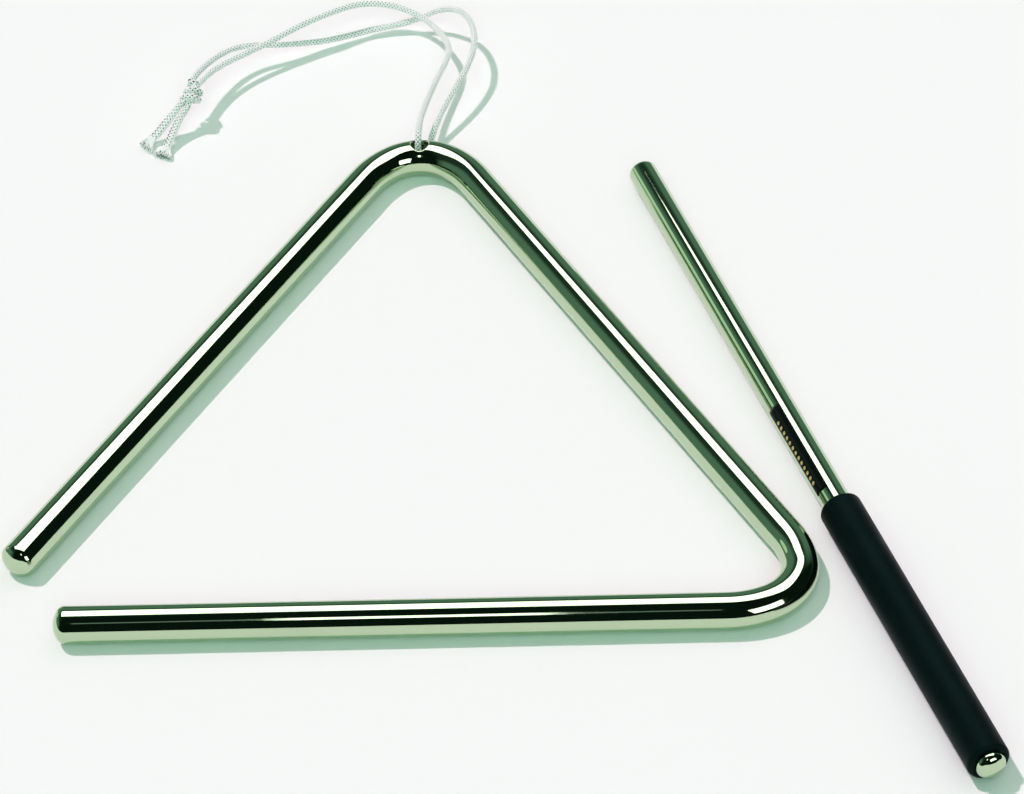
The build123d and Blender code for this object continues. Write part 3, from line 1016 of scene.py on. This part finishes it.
# Flat card of the given half sizes, facing a target. Its outline is a superellipse, so its corners are
# rounded: the higher the power, the squarer
def studioCard(name, place, target, halfWidth, halfHeight, material, power):
    place, target = np.array(place, float), np.array(target, float)
    facing = unit(target - place)
    across = unit(np.cross(facing, (0.0, 0.001, 1.0)))  # a hair off upright, for a level card
    up = np.cross(across, facing)
    sides = stage["cardSides"]
    turn = (np.arange(sides) + 0.5) / sides * 2 * np.pi
    i, j = (np.sign(w) * np.abs(w) ** (2 / power) for w in (np.cos(turn), np.sin(turn)))
    outline = place + i[:, None] * across * halfWidth + j[:, None] * up * halfHeight
    mirrorOnly(flatPiece(name, outline.tolist(), material))


# One square at table level, dull and pale
def makeFloor():
    half = stage["floor"]
    corners = [(-half, -half, 0), (half, -half, 0), (half, half, 0), (-half, half, 0)]
    material, tree, shader = newMaterial("paleTable")
    feed(tree, shader, {"Base Color": stage["floorColour"], "Roughness": 1.0, "Specular IOR Level": 0.0})
    flatPiece("tableTop", corners, material)


# Sun lamp whose back points towards where it stands
def makeSun(name, towards, colour, strength, spread):
    data = bpy.data.lights.new(name, "SUN")
    data.color = colour
    data.energy = strength
    data.angle = np.radians(spread)
    back = unit(np.array(towards, float))
    right = unit(np.cross((0, 1, 0), back))
    sun = addObject(name, data)
    sun.matrix_world = placing(right, np.cross(back, right), back)
    sun.visible_glossy = False


# World: the pale colour for camera, mirror and glass rays, the fill for the rest
def makeWorld():
    world = bpy.data.worlds.new("studio")
    bpy.context.scene.world = world
    world.use_nodes = True
    tree = world.node_tree
    back = tree.nodes["Background"]
    rays = tree.nodes.new("ShaderNodeLightPath").outputs
    seen = mathNode(tree, "ADD", rays["Is Camera Ray"], rays["Is Glossy Ray"])
    seen = mathNode(tree, "MAXIMUM", seen, rays["Is Transmission Ray"])
    tree.links.new(mixColour(tree, seen, stage["fill"], stage["pale"]), back.inputs["Color"])


makeFloor()
makeWorld()
for lamp in ("key", "soft", "front"):
    values = (stage[lamp + word] for word in ("Colour", "Level", "Spread"))
    makeSun(lamp + "Light", stage[lamp], *values)


room = {
    "size": 6.0,
    "below": -0.02,                     # radians by which it reaches below the table
    "rows": 25,
    "columns": 65,
    "black": (0.004, 0.010, 0.007, 1),
    "wall": (0.114, 0.214, 0.166, 1),
    "wallWay": (-0.55, 0.75),           # which way the wall stands
    "wallEdge": (0.0, 0.33),            # how far that way it starts, and where it has its full level
    "lowBand": (0.0, 0.18, 1.7, 1.05),  # heights between which its level goes from one share to another
    "highBand": (0.46, 0.64, 1.0, 0.14),
}


# Room: a half globe seen only by mirrors. A dim green wall stands behind and to the left, black elsewhere
def makeRoom():
    material, tree, glow = glowMaterial("dimRoom")
    place = tree.nodes.new("ShaderNodeTexCoord").outputs["Object"]
    way = addNode(tree, "ShaderNodeVectorMath", {0: place}, operation="NORMALIZE").outputs[0]
    axes = addNode(tree, "ShaderNodeSeparateXYZ", {0: way}).outputs
    across, back = room["wallWay"]
    towards = mathNode(tree, "MULTIPLY_ADD", axes["X"], across, mathNode(tree, "MULTIPLY", axes["Y"], back))
    wall = rangeNode(tree, towards, *room["wallEdge"], 0.0, 1.0)
    low = rangeNode(tree, axes["Z"], *room["lowBand"])
    high = rangeNode(tree, axes["Z"], *room["highBand"])
    level = mathNode(tree, "MULTIPLY", wall, mathNode(tree, "MULTIPLY", low, high))
    tree.links.new(mixColour(tree, level, room["black"], room["wall"]), glow.inputs["Color"])
    ring = np.linspace(0, 2 * np.pi, room["columns"])
    rise = np.linspace(room["below"], np.pi / 2, room["rows"])[:, None]
    globe = room["size"] * np.stack(np.broadcast_arrays(
        np.cos(rise) * np.cos(ring), np.cos(rise) * np.sin(ring), np.sin(rise)), -1)
    shell = makePiece("dimRoom", [globe], [False])
    shell.data.materials.append(material)
    mirrorOnly(shell)


# Direction given as degrees round from straight behind and degrees up, at a distance in metres
def aim(around, rise, distance):
    a, e = np.radians(around), np.radians(rise)
    return distance * np.array((np.sin(a) * np.cos(e), np.cos(a) * np.cos(e), np.sin(e)))


glows = {  # colour and strength
    "softBox": ((1.0, 1.0, 0.98, 1), 2.8),
    "dimBox": ((0.75, 1.0, 0.92, 1), 0.22),
    "paleCard": ((0.62, 0.84, 0.62, 1), 1.0),
}
cards = {  # glow, place, target, half width, half height and power of the outline
    "softBoxMain": ("softBox", (0.03, 0.88, 1.5), (0.03, 0.88, 0), 0.865, 0.68, 6.0),
    "softBoxFront": ("softBox", aim(140, 27, 2.0), (0, 0, 0), 0.573, 0.46, 20.0),
    "softBoxSmall": ("softBox", (-0.085, -0.75, 0.92), (-0.085, 0.0, 0.0), 0.06, 0.13, 20.0),
    "dimStrip": ("dimBox", (-0.100, -0.752, 0.923), (-0.100, 0.0, 0.0), 0.15, 0.06, 20.0),
    "paleBoard": ("paleCard", aim(-59, 13, 2.0), (0, 0, 0), 0.317, 0.245, 3.0),
}
makeRoom()
glowing = {name: glowMaterial(name, *values)[0] for name, values in glows.items()}
for name, (glow, place, target, halfWidth, halfHeight, power) in cards.items():
    studioCard(name, place, target, halfWidth, halfHeight, glowing[glow], power)
print("stage lit")

bpy.context.scene.view_settings.view_transform = "Standard"
